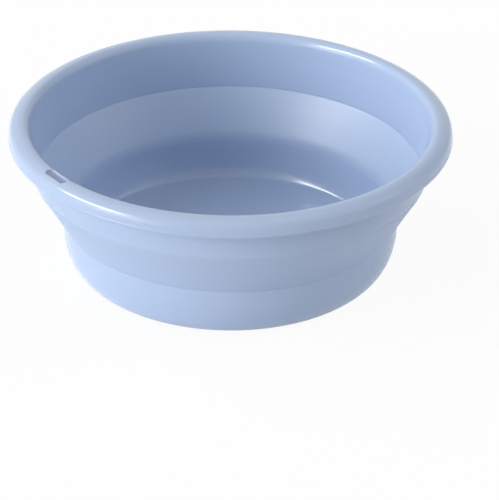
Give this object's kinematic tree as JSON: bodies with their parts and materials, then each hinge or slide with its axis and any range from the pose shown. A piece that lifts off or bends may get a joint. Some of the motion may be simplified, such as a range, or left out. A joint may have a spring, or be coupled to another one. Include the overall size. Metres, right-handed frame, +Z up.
{
  "type": "collapsible wash basin",
  "caption": "Round folding wash basin: a rigid lipped rim ring with a hanging slot, a soft band that turns inside out, and a rigid base cup that the rim slides down around.",
  "frame": {"origin": "on the standing plane, under the middle of the basin, on the axis that all three mouldings share", "axes": "+Z up along the basin's axis, which is also the line the rim slides on; -X towards the hanging slot in the lip"},
  "size_m": [0.36, 0.36, 0.1286],
  "materials": {
    "hard_plastic": "satin gloss moulded polypropylene, pale lavender blue",
    "soft_plastic": "satin thermoplastic elastomer, the same blue a shade deeper"
  },
  "bodies": {
    "cup": {"base_cup": "hard_plastic", "fold_band": "soft_plastic"},
    "rim": {"rim_ring": "hard_plastic"}
  },
  "joints": [
    {"name": "collapse", "type": "slide", "parent": "cup", "child": "rim", "axis": [0, 0, -1], "range_m": [0, 0.0775], "deforming": ["fold_band"]}
  ]
}
